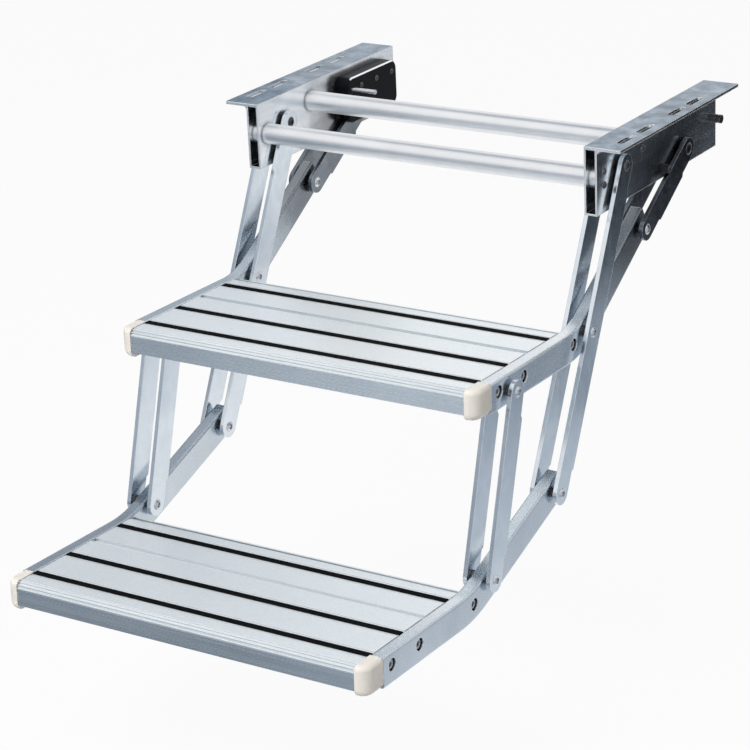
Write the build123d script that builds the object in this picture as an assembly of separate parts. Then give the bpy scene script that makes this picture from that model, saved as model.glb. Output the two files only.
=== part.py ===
import os
from math import atan2, cos, degrees, hypot, radians, sin, tan

from build123d import *

# A folding two-tread step that hangs under a doorway.
# X runs across the step, +Y runs back under the vehicle, +Z is up.
# The origin lies midway between the two mounting flanges, on their top faces,
# at the middle of the slot pattern. The step is drawn let down.

# Treads, measured in each step's own frame: its origin is on the tread's top,
# under the front rubber strip, with +Y to the rear
tread_width = 440.0
tread_front = 32.0
tread_rear = 192.0
tread_wall = 2.5
nose_radius = 9.0
fascia_height = 27.5
rear_roll_radius = 20.0
rear_lip_height = 25.0
strip_places = (0.0, 59.8, 154.0)
empty_channel_place = 106.0
channel_width = 8.2
channel_depth = 3.0
channel_floor = 2.2
channel_rim = 4.0
rim_step = 0.5
nose_rib_count = 4
nose_rib_start = 8.0
nose_rib_pitch = 3.6
nose_rib_radius = 0.9
deck_rib_places = (36.0, 90.0, 127.0)
deck_rib_thickness = 2.0
deck_rib_depth = 3.0

# Rubber strips in the tread's channels
strip_clearance = 0.15
strip_rise = 0.6
strip_groove_count = 3
strip_groove_width = 0.7
strip_groove_depth = 0.5

# Side rails of both steps
rail_width = 16.0
rail_height = 35.0
rail_wall = 2.2
rail_corner = 2.6
rail_rise = 0.5
rail_front = 1.0
rail_end_beyond_pivot = 16.0
upper_bend_place = 202.0
upper_bend_angle = 32.4
upper_bend_radius = 100.0
lower_bend_place = 184.0
lower_bend_angle = 20.5
lower_bend_radius = 150.0

# Screws that hold the treads between the rails, in ports under the treads
rail_screw_places = (16.0, 71.0, 186.0)
rail_screw_drop = 13.7
rail_screw_shank = 4.8
rail_screw_head = 10.0
rail_screw_head_height = 6.0
rail_screw_socket = 5.0
rail_screw_length = 26.0
screw_port_wall = 2.1
screw_clearance = 0.1
access_hole_diameter = 14.5

# Nylon caps in the rails' front ends, as long as the tread's nose reaches
cap_beyond_tread = 0.8
cap_rise = 0.6
cap_corner_radius = 14.0
cap_top_radius = 6.0
cap_foot_radius = 9.0
cap_plug_length = 10.0
cap_plug_clearance = 0.15

# Mounting brackets: a hollow box with a flange along its top
bracket_front = 132.0
bracket_rear = 178.0
bracket_height = 80.0
bracket_wall = 2.2
flange_width = 45.5
flange_thickness = 3.6
flange_fillet = 5.0
slot_length = 36.0
slot_width = 9.0
slot_places = (-88.0, -40.0, 40.0, 88.0)

# Cross tubes between the brackets, each held by two screws at both ends
tube_diameter = 25.0
tube_wall = 2.0
front_tube_place = (-113.7, -40.0)
rear_tube_place = (-18.0, -23.0)
tube_clearance = 0.1
tube_screw_offset = 8.0
tube_screw_shank = 5.0
tube_screw_head = 9.0
tube_screw_head_height = 2.6
tube_screw_depth = 20.0
tube_port_wall = 1.6
tube_screw_socket = 3.0
tube_screw_socket_depth = 1.4

# Where the steps hang when they are let down: the front strip's place
# on the tread's top, and the tread's slope with its front edge up
upper_step_place = (-377.4, -195.3)
upper_step_slope = 1.2
step_going = 235.5
step_rise = 218.1
lower_step_place = (upper_step_place[0] - step_going, upper_step_place[1] - step_rise)
lower_step_slope = 1.8

# Pivots in the side view, as Y and Z, with the step let down; the lower
# step's pivots keep their distance from its front strip
long_arm_bottom_offset = (370.1, 40.2)
short_arm_bottom_offset = (217.1, -2.5)
long_arm_top = (-75.5, -34.7)
long_arm_middle = (-161.9, -206.5)
long_arm_bottom = (
    lower_step_place[0] + long_arm_bottom_offset[0],
    lower_step_place[1] + long_arm_bottom_offset[1],
)
short_arm_top = (-337.0, -216.5)
short_arm_bottom = (
    lower_step_place[0] + short_arm_bottom_offset[0],
    lower_step_place[1] + short_arm_bottom_offset[1],
)
link_top = (85.0, -57.9)
link_bottom = (-24.3, -125.3)

# Flat bars of the arms and links, with a lip along the rear edge
bar_thickness = 5.0
bar_end_radius = 13.5
bar_lip = 3.0
bar_lip_setback = 27.0
bar_gap = 4.0

# Pivot pins and their bushes; the pins' heads are dished in the middle
pin_diameter = 8.0
pin_head_diameter = 13.0
pin_head_height = 2.8
pin_dish_diameter = 6.5
pin_dish_depth = 2.2
pin_clearance = 0.05
bush_wall = 2.0
bush_side_play = 0.3

# Drive shaft across both brackets, with a screw in each end
shaft_diameter = 12.0
shaft_bearing_wall = 2.2
end_screw_shank = 6.0
end_screw_length = 16.0
end_screw_head = 15.0
end_screw_head_height = 3.0
end_screw_socket = 4.5

# Stops that the links' front edges rest against
buffer_diameter = 11.0
buffer_length = 10.0
buffer_distance = 51.0
buffer_gap = 0.3
buffer_pin_diameter = 5.0
buffer_pin_clearance = 0.05
buffer_pin_head = 8.0
buffer_pin_head_height = 2.0

# Grooved posts at the brackets' rear ends
post_place = (165.0, -42.0)
post_diameter = 10.5
post_length = 14.0
post_groove_width = 2.4
post_groove_depth = 1.6
post_groove_inset = 3.4

# Drive unit on the inner side of the left bracket
unit_front = 42.0
unit_rear = 158.0
unit_top = 10.0
unit_bottom = 68.0
unit_ledge_bottom = 37.0
unit_case_depth = 3.5
unit_cover_depth = 3.5
unit_corner = 12.0
unit_cover_edge = 1.6
unit_side_play = 1.0
unit_rod_place = (50.0, -24.0)
unit_rod_diameter = 5.5
unit_rod_length = 36.0
unit_screw_diameter = 4.0
unit_screw_head = 7.5
unit_screw_head_height = 2.0
unit_screw_places = ((74.0, -24.0), (110.0, -24.0), (146.0, -24.0))

# How far a cut runs past the face it opens, and how far an edge's middle
# lies off a plane before it counts as another edge
overcut = 1.0
edge_margin = 0.1

# The way along X that a head stands from its face
rightward = 1
leftward = -1

# Planes across the step that follow from the sizes above
rail_inner = tread_width / 2
rail_outer = rail_inner + rail_width
outer_bar_face = rail_outer + bar_gap
inner_bar_face = rail_inner - bar_gap
flange_outer = rail_inner + flange_width
flange_middle = (rail_outer + flange_outer) / 2
bush_radius = pin_diameter / 2 + bush_wall
pin_bore = pin_diameter / 2 + pin_clearance


# A box between two corners.
def block(x_from, x_to, y_from, y_to, z_from, z_to):
    size = Box(x_to - x_from, y_to - y_from, z_to - z_from)
    return Pos((x_from + x_to) / 2, (y_from + y_to) / 2, (z_from + z_to) / 2) * size


# A round rod along X, from one plane to another.
def rod(place, radius, x_from, x_to):
    disc = Plane.YZ.offset(x_from) * Pos(place[0], place[1]) * Circle(radius)
    return extrude(disc, amount=x_to - x_from)


# A sleeve along X.
def sleeve(place, outer_radius, inner_radius, x_from, x_to):
    hole = rod(place, inner_radius, x_from - overcut, x_to + overcut)
    return rod(place, outer_radius, x_from, x_to) - hole


# A domed head on the face at x_face, standing towards +X or -X.
def dome(place, radius, height, x_face, way):
    ball_radius = (radius ** 2 + height ** 2) / (2 * height)
    half_turn = atan2(radius, ball_radius - height) / 2
    shoulder = (ball_radius * sin(half_turn), height - ball_radius + ball_radius * cos(half_turn))
    base = Line((0, 0), (radius, 0))
    arc = ThreePointArc((radius, 0), shoulder, (0, height))
    axis_line = Line((0, height), (0, 0))
    profile = make_face([base, arc, axis_line])
    return Pos(x_face, place[0], place[1]) * Rot(0, 0, -90 * way) * revolve(profile, Axis.Y)


# A hexagon socket cut into a head whose top is at x_top, on the +X side.
def socket(place, x_top, width, depth):
    sketch = Plane.YZ.offset(x_top) * Pos(place[0], place[1]) * RegularPolygon(width / 2, 6)
    return extrude(sketch, amount=-depth)


# The same piece on the other side of the step.
def other_side(piece):
    return mirror(piece, about=Plane.YZ)


def both_sides(pieces):
    return pieces + [other_side(piece) for piece in pieces]


# Where a step's own frame lies in the part.
def step_frame(place, slope):
    return Location((0, place[0], place[1]), (-slope, 0, 0))


# A point of the side view, seen in a step's own frame.
def in_step(point, place, slope):
    turn = radians(slope)
    back = point[0] - place[0]
    up = point[1] - place[1]
    return (back * cos(turn) - up * sin(turn), back * sin(turn) + up * cos(turn))


# The tread's outside from the fascia's foot over the nose and the deck to the
# rear roll, drawn at a depth below its skin.
def tread_outline(depth):
    front = -tread_front + depth
    rear = tread_rear - depth
    nose = nose_radius - depth
    roll = rear_roll_radius - depth
    foot = Polyline((front, -fascia_height), (front, -nose_radius))
    bend = nose * (1 - cos(radians(45)))
    nose_arc = ThreePointArc((front, -nose_radius), (front + bend, -depth - bend), (front + nose, -depth))
    deck = Line((front + nose, -depth), (rear - roll, -depth))
    fall = roll * (1 - cos(radians(45)))
    roll_arc = ThreePointArc(
        (rear - roll, -depth), (rear - fall, -depth - fall), (rear, -rear_roll_radius)
    )
    lip = Line((rear, -rear_roll_radius), (rear, -rear_lip_height))
    return foot + nose_arc + deck + roll_arc + lip


# The skin between the outer outline and the same outline one wall deeper.
def tread_skin():
    outer = tread_outline(0)
    inner = tread_outline(tread_wall)
    front_foot = Line(outer @ 0, inner @ 0)
    rear_foot = Line(outer @ 1, inner @ 1)
    return make_face(outer.edges() + inner.edges() + [front_foot, rear_foot])


# The deck is thicker round a channel, and beside a strip its rims stand
# a small step lower than the deck.
def channel_floor_block(place):
    width = channel_width + 2 * channel_rim
    depth = channel_depth + channel_floor
    return Pos(place, -depth / 2) * Rectangle(width, depth)


def channel_cut(place):
    return Pos(place, 0) * Rectangle(channel_width, 2 * channel_depth)


def rim_cut(place):
    return Pos(place, 0) * Rectangle(channel_width + 2 * channel_rim, 2 * rim_step)


# Round ridges over the nose that give the foot a hold.
def nose_ribs():
    ribs = []
    turn = degrees(nose_rib_pitch / nose_radius)
    for index in range(nose_rib_count):
        angle = radians(90 + nose_rib_start + index * turn)
        across = -tread_front + nose_radius + nose_radius * cos(angle)
        up = -nose_radius + nose_radius * sin(angle)
        ribs.append(Pos(across, up) * Circle(nose_rib_radius))
    return ribs


def screw_port(place):
    port_radius = rail_screw_shank / 2 + screw_clearance + screw_port_wall
    web_height = rail_screw_drop - tread_wall
    ring = Pos(place, -rail_screw_drop) * Circle(port_radius)
    web = Pos(place, -tread_wall - web_height / 2) * Rectangle(deck_rib_thickness, web_height)
    return ring + web


# The tread is one extrusion: skin, channels, ribs and screw ports.
def tread():
    section = tread_skin()
    for place in strip_places + (empty_channel_place,):
        section += channel_floor_block(place)
    rib_middle = -tread_wall - deck_rib_depth / 2
    for place in deck_rib_places:
        section += Pos(place, rib_middle) * Rectangle(deck_rib_thickness, deck_rib_depth)
    for place in rail_screw_places:
        section += screw_port(place)
    for rib in nose_ribs():
        section += rib
    for place in strip_places + (empty_channel_place,):
        section -= channel_cut(place)
    for place in strip_places:
        section -= rim_cut(place)
    for place in rail_screw_places:
        section -= Pos(place, -rail_screw_drop) * Circle(rail_screw_shank / 2 + screw_clearance)
    return extrude(Plane.YZ.offset(-rail_inner) * section, amount=tread_width)


# A rubber strip that fills its channel and stands a little proud, with fine
# grooves along its top.
def rubber_strip(place):
    width = channel_width - 2 * strip_clearance
    height = channel_depth + strip_rise
    section = Pos(place, strip_rise - height / 2) * Rectangle(width, height)
    pitch = width / (strip_groove_count + 1)
    for index in range(strip_groove_count):
        across = place - width / 2 + pitch * (index + 1)
        section -= Pos(across, strip_rise) * Rectangle(strip_groove_width, 2 * strip_groove_depth)
    return extrude(Plane.YZ.offset(-rail_inner) * section, amount=tread_width)


# The middle line of a rail: level under the tread, a bend, then straight up
# to a little beyond its end pivot.
def rail_path(bend_place, bend_angle, bend_radius, end_pivot):
    middle = rail_rise - rail_height / 2
    turn = radians(bend_angle)
    tangent = bend_radius * tan(turn / 2)
    along = (end_pivot[0] - bend_place) * cos(turn) + (end_pivot[1] - middle) * sin(turn)
    reach = along + rail_end_beyond_pivot
    start = (0, -rail_front, middle)
    bend_start = (0, bend_place - tangent, middle)
    bend_end = (0, bend_place + tangent * cos(turn), middle + tangent * sin(turn))
    end = (0, bend_place + reach * cos(turn), middle + reach * sin(turn))
    level = Line(start, bend_start)
    bend = TangentArc(bend_start, bend_end, tangent=(0, 1, 0))
    slope = Line(bend_end, end)
    return level + bend + slope


# The right rail: a bent box section with pivot holes, screw holes in its inner
# wall and wider holes in its outer wall that let the screwdriver in.
def rail(path, pivots):
    start = Plane(origin=(0, -rail_front, rail_rise - rail_height / 2), x_dir=(1, 0, 0), z_dir=(0, 1, 0))
    outer = sweep(start * RectangleRounded(rail_width, rail_height, rail_corner), path=path)
    hollow_width = rail_width - 2 * rail_wall
    hollow_height = rail_height - 2 * rail_wall
    inner = sweep(start * Rectangle(hollow_width, hollow_height), path=path)
    body = Pos(rail_inner + rail_width / 2, 0, 0) * (outer - inner)
    for pivot in pivots:
        body -= rod(pivot, bush_radius, rail_inner - overcut, rail_outer + overcut)
    for place in rail_screw_places:
        at = (place, -rail_screw_drop)
        hole = rail_screw_shank / 2 + screw_clearance
        body -= rod(at, hole, rail_inner - overcut, rail_inner + rail_wall + overcut)
        body -= rod(at, access_hole_diameter / 2, rail_outer - rail_wall - overcut, rail_outer + overcut)
    return body


# Bushes across the rail, with their ends just clear of the bars.
def rail_bush(pivot):
    reach = bar_gap - bush_side_play
    return sleeve(pivot, bush_radius, pin_bore, rail_inner - reach, rail_outer + reach)


# A screw whose head bears on the rail's inner wall, with its shank in the port.
def rail_screw(place):
    at = (place, -rail_screw_drop)
    seat = rail_inner + rail_wall
    top = seat + rail_screw_head_height
    shank = rod(at, rail_screw_shank / 2, seat - rail_screw_length, seat)
    head = rod(at, rail_screw_head / 2, seat, top)
    return shank + head - socket(at, top, rail_screw_socket, rail_screw_head_height / 2)


# The cap closes the rail's front end. Its outer front corner is a wide round
# in plan, its foot is rounded more than its top, and a plug fits the rail's hollow.
def rail_cap():
    top = rail_rise + cap_rise
    bottom = rail_rise - rail_height
    back = -rail_front
    front = -tread_front - cap_beyond_tread
    body = block(rail_inner, rail_outer, front, back, bottom, top)
    corner = body.edges().filter_by(Axis.Z).group_by(Axis.Y)[0].sort_by(Axis.X)[-1]
    body = fillet(corner, cap_corner_radius)
    for level, radius in ((0, cap_foot_radius), (-1, cap_top_radius)):
        rounded = []
        for edge in body.faces().sort_by(Axis.Z)[level].edges():
            if edge.center().Y < back - edge_margin and edge.center().X > rail_inner + edge_margin:
                rounded.append(edge)
        body = fillet(rounded, radius)
    half_width = rail_width / 2 - rail_wall - cap_plug_clearance
    half_height = rail_height / 2 - rail_wall - cap_plug_clearance
    middle_x = (rail_inner + rail_outer) / 2
    middle_z = rail_rise - rail_height / 2
    plug = block(
        middle_x - half_width, middle_x + half_width,
        back - overcut, back + cap_plug_length,
        middle_z - half_height, middle_z + half_height,
    )
    return body + plug


# The bracket: a box section, the flange with its fillet, slots for the bolts,
# and holes for the tubes, the arm's bush, the shaft, the stop and the post.
def bracket():
    outer = Pos(rail_inner + rail_width / 2, -bracket_height / 2) * Rectangle(rail_width, bracket_height)
    hollow = Pos(rail_inner + rail_width / 2, (-bracket_height - flange_thickness + bracket_wall) / 2)
    hollow_height = bracket_height - flange_thickness - bracket_wall
    hollow = hollow * Rectangle(rail_width - 2 * bracket_wall, hollow_height)
    flange = Pos(rail_inner + flange_width / 2, -flange_thickness / 2)
    flange = flange * Rectangle(flange_width, flange_thickness)
    corner = Pos(rail_outer + flange_fillet / 2, -flange_thickness - flange_fillet / 2)
    corner = corner * Rectangle(flange_fillet, flange_fillet)
    round_out = Pos(rail_outer + flange_fillet, -flange_thickness - flange_fillet) * Circle(flange_fillet)
    section = outer + flange + (corner - round_out) - hollow
    front = Plane.XZ.offset(bracket_front)
    body = extrude(front * section, amount=-(bracket_front + bracket_rear))
    for place in slot_places:
        slot = Pos(flange_middle, place, 0) * Rot(0, 0, 90) * SlotOverall(slot_length, slot_width)
        body -= extrude(Pos(0, 0, -flange_thickness - overcut) * slot, amount=flange_thickness + 2 * overcut)
    for place in (front_tube_place, rear_tube_place):
        hole = tube_diameter / 2 + tube_clearance
        body -= rod(place, hole, rail_inner - overcut, rail_outer - bracket_wall)
        for side in (-1, 1):
            at = (place[0], place[1] + side * tube_screw_offset)
            hole = tube_screw_shank / 2 + screw_clearance
            body -= rod(at, hole, rail_outer - bracket_wall - overcut, rail_outer + overcut)
    body -= rod(long_arm_top, bush_radius, rail_inner - overcut, rail_outer + overcut)
    body -= rod(link_top, shaft_diameter / 2 + shaft_bearing_wall, rail_inner - overcut, rail_outer + overcut)
    wall_inside = rail_outer - bracket_wall
    body -= rod(buffer_place(), buffer_pin_diameter / 2, wall_inside - overcut, rail_outer + overcut)
    body -= rod(post_place, post_diameter / 2, wall_inside - overcut, rail_outer + overcut)
    return body


# A cross tube with two screw ports inside its wall.
def cross_tube(place):
    reach = rail_outer - bracket_wall
    inner_radius = tube_diameter / 2 - tube_wall
    section = Circle(tube_diameter / 2) - Circle(inner_radius)
    port_radius = tube_screw_shank / 2 + tube_port_wall
    for side in (-1, 1):
        port = Pos(0, side * tube_screw_offset) * Circle(port_radius)
        section += port & Circle(inner_radius + tube_wall / 2)
    for side in (-1, 1):
        section -= Pos(0, side * tube_screw_offset) * Circle(tube_screw_shank / 2 - screw_clearance)
    start = Plane.YZ.offset(-reach) * Pos(place[0], place[1])
    return extrude(start * section, amount=2 * reach)


# The screw's thread is drawn as a plain shank a little under the port's bore.
def tube_screw(place, side):
    at = (place[0], place[1] + side * tube_screw_offset)
    top = rail_outer + tube_screw_head_height
    shank_radius = tube_screw_shank / 2 - 2 * screw_clearance
    shank = rod(at, shank_radius, rail_outer - tube_screw_depth, rail_outer)
    head = dome(at, tube_screw_head / 2, tube_screw_head_height, rail_outer, rightward)
    return shank + head - socket(at, top, tube_screw_socket, tube_screw_socket_depth)


# A flat bar between two pivots, in its own frame, with its lip towards +Y.
# Its ends are round, and the lip stops short of both ends.
def bar_outline(length):
    ends = Pos(length / 2, 0) * SlotCenterToCenter(length, 2 * bar_end_radius)
    lip_top = bar_end_radius + bar_lip
    lip = Polygon(
        (bar_lip_setback, 0),
        (length - bar_lip_setback, 0),
        (length - bar_lip_setback, bar_end_radius),
        (length - bar_lip_setback - bar_lip, lip_top),
        (bar_lip_setback + bar_lip, lip_top),
        (bar_lip_setback, bar_end_radius),
        align=None,
    )
    return ends + lip


def bar(start, end, x_from, hole_radius, end_hole_radius, middle=None):
    length = hypot(end[0] - start[0], end[1] - start[1])
    angle = degrees(atan2(end[1] - start[1], end[0] - start[0]))
    side = Plane.YZ.offset(x_from)
    sketch = side * Pos(start[0], start[1]) * Rot(0, 0, angle) * bar_outline(length)
    body = extrude(sketch, amount=bar_thickness)
    body -= rod(start, hole_radius, x_from - overcut, x_from + bar_thickness + overcut)
    body -= rod(end, end_hole_radius, x_from - overcut, x_from + bar_thickness + overcut)
    if middle:
        body -= rod(middle, end_hole_radius, x_from - overcut, x_from + bar_thickness + overcut)
    return body


def outer_bar(start, end, hole_radius, end_hole_radius, middle=None):
    return bar(start, end, outer_bar_face, hole_radius, end_hole_radius, middle)


def inner_bar(start, end, hole_radius, end_hole_radius, middle=None):
    return bar(start, end, inner_bar_face - bar_thickness, hole_radius, end_hole_radius, middle)


# A pin's round, dished head on a bar's face, standing towards +X or -X.
def pin_head(place, x_face, way):
    head = dome(place, pin_head_diameter / 2, pin_head_height, x_face, way)
    top = x_face + way * pin_head_height
    bottom = top - way * pin_dish_depth
    return head - rod(place, pin_dish_diameter / 2, min(top, bottom), max(top, bottom))


# A riveted pin through both bars of a pair, with a head at each end.
def pivot_pin(place):
    inner_face = inner_bar_face - bar_thickness
    outer_face = outer_bar_face + bar_thickness
    shank = rod(place, pin_diameter / 2, inner_face, outer_face)
    return shank + pin_head(place, outer_face, rightward) + pin_head(place, inner_face, leftward)


# A pivot whose pin is in three pieces: a headed stud in each bar of the pair,
# flush with the bar's inner face, and a core that stays in the rail's bush.
def split_pin_studs(place):
    inner_face = inner_bar_face - bar_thickness
    outer_face = outer_bar_face + bar_thickness
    outer_shank = rod(place, pin_diameter / 2, outer_bar_face, outer_face)
    inner_shank = rod(place, pin_diameter / 2, inner_face, inner_bar_face)
    return [
        outer_shank + pin_head(place, outer_face, rightward),
        inner_shank + pin_head(place, inner_face, leftward),
    ]


def split_pin_core(place):
    reach = bar_gap - bush_side_play
    return rod(place, pin_diameter / 2, rail_inner - reach, rail_outer + reach)


# The bush that carries the long arm's top pin in the bracket.
def bracket_bush():
    return rail_bush(long_arm_top)


def shaft_bearing():
    outer_radius = shaft_diameter / 2 + shaft_bearing_wall
    reach = bar_gap - bush_side_play
    bore = shaft_diameter / 2 + pin_clearance
    return sleeve(link_top, outer_radius, bore, rail_inner - reach, rail_outer + reach)


# The shaft runs through both brackets, carries all four links and ends flush
# with the outer ones, with a threaded hole in each end.
def drive_shaft():
    reach = outer_bar_face + bar_thickness
    hole = rod(link_top, end_screw_shank / 2, reach - end_screw_length, reach + overcut)
    return rod(link_top, shaft_diameter / 2, -reach, reach) - hole - other_side(hole)


# The screw's wide head holds the link on the shaft.
def end_screw():
    face = outer_bar_face + bar_thickness
    top = face + end_screw_head_height
    shank = rod(link_top, end_screw_shank / 2 - screw_clearance, face - end_screw_length, face)
    head = dome(link_top, end_screw_head / 2, end_screw_head_height, face, rightward)
    return shank + head - socket(link_top, top, end_screw_socket, end_screw_head_height / 2)


# The stop lies on the front side of the link's edge, a little way down it.
def buffer_place():
    reach = hypot(link_bottom[0] - link_top[0], link_bottom[1] - link_top[1])
    along = ((link_bottom[0] - link_top[0]) / reach, (link_bottom[1] - link_top[1]) / reach)
    aside = (along[1], -along[0])
    offset = bar_end_radius + buffer_diameter / 2 + buffer_gap
    return (
        link_top[0] + along[0] * buffer_distance + aside[0] * offset,
        link_top[1] + along[1] * buffer_distance + aside[1] * offset,
    )


def stop_buffer():
    bore = buffer_pin_diameter / 2 + buffer_pin_clearance
    return sleeve(buffer_place(), buffer_diameter / 2, bore, rail_outer, rail_outer + buffer_length)


def stop_pin():
    end = rail_outer + buffer_length
    shank = rod(buffer_place(), buffer_pin_diameter / 2, rail_outer - bracket_wall, end)
    head = dome(buffer_place(), buffer_pin_head / 2, buffer_pin_head_height, end, rightward)
    return shank + head


# A post with a groove near its outer end.
def grooved_post():
    end = rail_outer + post_length
    body = rod(post_place, post_diameter / 2, rail_outer - bracket_wall, end)
    groove_end = end - post_groove_inset
    groove_start = groove_end - post_groove_width
    neck = post_diameter / 2 - post_groove_depth
    return body - sleeve(post_place, post_diameter / 2 + overcut, neck, groove_start, groove_end)


# The drive unit's case hangs on a ledge above the link's sweep, and its lower
# part lies inboard of the inner link, with a hole for the shaft.
def unit_outline(inset):
    depth = unit_rear - unit_front - 2 * inset
    height = unit_bottom - unit_top - 2 * inset
    middle = Pos((unit_front + unit_rear) / 2, -(unit_top + unit_bottom) / 2)
    return middle * RectangleRounded(depth, height, unit_corner - inset)


def unit_case():
    inner_face = -inner_bar_face + bar_thickness + unit_side_play
    shell = extrude(Plane.YZ.offset(inner_face) * unit_outline(0), amount=unit_case_depth)
    ledge_bottom = -unit_ledge_bottom
    ledge = extrude(Plane.YZ.offset(-rail_inner) * unit_outline(0), amount=inner_face + rail_inner)
    ledge = ledge & block(-rail_inner, inner_face, unit_front, unit_rear, ledge_bottom, -unit_top)
    body = shell + ledge
    face = inner_face + unit_case_depth
    shaft_bore = shaft_diameter / 2 + 2 * pin_clearance
    body -= rod(link_top, shaft_bore, inner_face - overcut, face + overcut)
    for place in unit_screw_places:
        bore = unit_screw_diameter / 2 + screw_clearance
        body -= rod(place, bore, -rail_inner - overcut, face + overcut)
    return body


def unit_cover():
    face = -inner_bar_face + bar_thickness + unit_side_play + unit_case_depth
    body = extrude(Plane.YZ.offset(face) * unit_outline(0), amount=unit_cover_depth)
    edge = body.faces().sort_by(Axis.X)[-1].edges()
    body = chamfer(edge, unit_cover_edge)
    cut_end = face + unit_cover_depth + overcut
    body -= rod(link_top, shaft_diameter / 2 + 2 * pin_clearance, face - overcut, cut_end)
    body -= rod(unit_rod_place, unit_rod_diameter / 2, face - overcut, cut_end)
    for place in unit_screw_places:
        bore = unit_screw_diameter / 2 + screw_clearance
        body -= rod(place, bore, face - overcut, cut_end)
    return body


# A short rod that stands on the case and out through the cover.
def unit_rod():
    foot = -inner_bar_face + bar_thickness + unit_side_play + unit_case_depth
    return rod(unit_rod_place, unit_rod_diameter / 2, foot, foot + unit_cover_depth + unit_rod_length)


def unit_screw(place):
    seat = -inner_bar_face + bar_thickness + unit_side_play + unit_case_depth + unit_cover_depth
    shank = rod(place, unit_screw_diameter / 2, -rail_inner, seat)
    head = dome(place, unit_screw_head / 2, unit_screw_head_height, seat, rightward)
    return shank + head


# One step: tread, rails, caps, strips, screws and bushes, in the part's frame.
def step_pieces(prefix, place, slope, bend, end_pivot, pivots):
    frame = step_frame(place, slope)
    local_pivots = [in_step(pivot, place, slope) for pivot in pivots]
    path = rail_path(bend[0], bend[1], bend[2], in_step(end_pivot, place, slope))
    right_rail = rail(path, local_pivots)
    right_cap = rail_cap()
    screws = both_sides([rail_screw(at) for at in rail_screw_places])
    bushes = both_sides([rail_bush(pivot) for pivot in local_pivots])
    strips = [rubber_strip(at) for at in strip_places]
    pieces = {
        "tread": [tread()],
        "right_rail": [right_rail],
        "left_rail": [other_side(right_rail)],
        "right_cap": [right_cap],
        "left_cap": [other_side(right_cap)],
        "front_strip": [strips[0]],
        "middle_strip": [strips[1]],
        "rear_strip": [strips[2]],
        "tread_screws": screws,
        "pivot_bushes": bushes,
    }
    placed = {}
    for name, solids in pieces.items():
        placed[prefix + "_" + name] = [frame * solid for solid in solids]
    return placed


# A pair of bars on each side of the step.
def arm_pieces(name, start, end, hole_radius, end_hole_radius, middle=None):
    outer = outer_bar(start, end, hole_radius, end_hole_radius, middle)
    inner = inner_bar(start, end, hole_radius, end_hole_radius, middle)
    return {
        "right_outer_" + name: [outer],
        "right_inner_" + name: [inner],
        "left_outer_" + name: [other_side(outer)],
        "left_inner_" + name: [other_side(inner)],
    }


def frame_pieces():
    right_bracket = bracket()
    tube_screws = []
    for place in (front_tube_place, rear_tube_place):
        for side in (-1, 1):
            tube_screws.append(tube_screw(place, side))
    return {
        "right_bracket": [right_bracket],
        "left_bracket": [other_side(right_bracket)],
        "front_cross_tube": [cross_tube(front_tube_place)],
        "rear_cross_tube": [cross_tube(rear_tube_place)],
        "cross_tube_screws": both_sides(tube_screws),
        "bracket_bushes": both_sides([bracket_bush()]),
        "shaft_bearings": both_sides([shaft_bearing()]),
        "stop_buffers": both_sides([stop_buffer()]),
        "stop_pins": both_sides([stop_pin()]),
        "grooved_posts": both_sides([grooved_post()]),
        "drive_unit_case": [unit_case()],
        "drive_unit_cover": [unit_cover()],
        "drive_unit_rod": [unit_rod()],
        "drive_unit_screws": [unit_screw(place) for place in unit_screw_places],
    }


def all_pieces():
    pin_hole = pin_diameter / 2
    shaft_hole = shaft_diameter / 2
    pieces = frame_pieces()
    pieces.update(arm_pieces("link", link_top, link_bottom, shaft_hole, pin_hole))
    pieces["drive_shaft"] = [drive_shaft()]
    pieces["shaft_end_screws"] = both_sides([end_screw()])
    pieces["link_studs"] = both_sides(split_pin_studs(link_bottom))
    pieces["link_pin_cores"] = both_sides([split_pin_core(link_bottom)])
    pieces.update(arm_pieces("long_arm", long_arm_top, long_arm_bottom, pin_hole, pin_hole, long_arm_middle))
    pieces["top_pivot_pins"] = both_sides([pivot_pin(long_arm_top)])
    pieces["middle_pivot_pins"] = both_sides([pivot_pin(long_arm_middle)])
    pieces["bottom_pivot_pins"] = both_sides([pivot_pin(long_arm_bottom)])
    pieces.update(arm_pieces("short_arm", short_arm_top, short_arm_bottom, pin_hole, pin_hole))
    pieces["short_arm_pins"] = both_sides([pivot_pin(short_arm_top)])
    pieces["short_arm_studs"] = both_sides(split_pin_studs(short_arm_bottom))
    pieces["short_arm_pin_cores"] = both_sides([split_pin_core(short_arm_bottom)])
    upper_bend = (upper_bend_place, upper_bend_angle, upper_bend_radius)
    upper_pivots = (long_arm_middle, link_bottom, short_arm_top)
    pieces.update(
        step_pieces("upper", upper_step_place, upper_step_slope, upper_bend, link_bottom, upper_pivots)
    )
    lower_bend = (lower_bend_place, lower_bend_angle, lower_bend_radius)
    lower_pivots = (long_arm_bottom, short_arm_bottom)
    pieces.update(
        step_pieces("lower", lower_step_place, lower_step_slope, lower_bend, long_arm_bottom, lower_pivots)
    )
    return pieces


os.makedirs("parts", exist_ok=True)
for node, solids in all_pieces().items():
    shape = solids[0] if len(solids) == 1 else Compound(children=solids)
    shape.label = node
    export_step(shape, os.path.join("parts", node + ".step"))
    print(node, len(solids), round(sum(solid.volume for solid in solids) / 1000, 1), "cm3")
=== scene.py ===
# A folding entry step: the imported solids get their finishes, the tread screws get socket heads,
# and the whole stands in a small studio.

from math import cos, radians, sin

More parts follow.
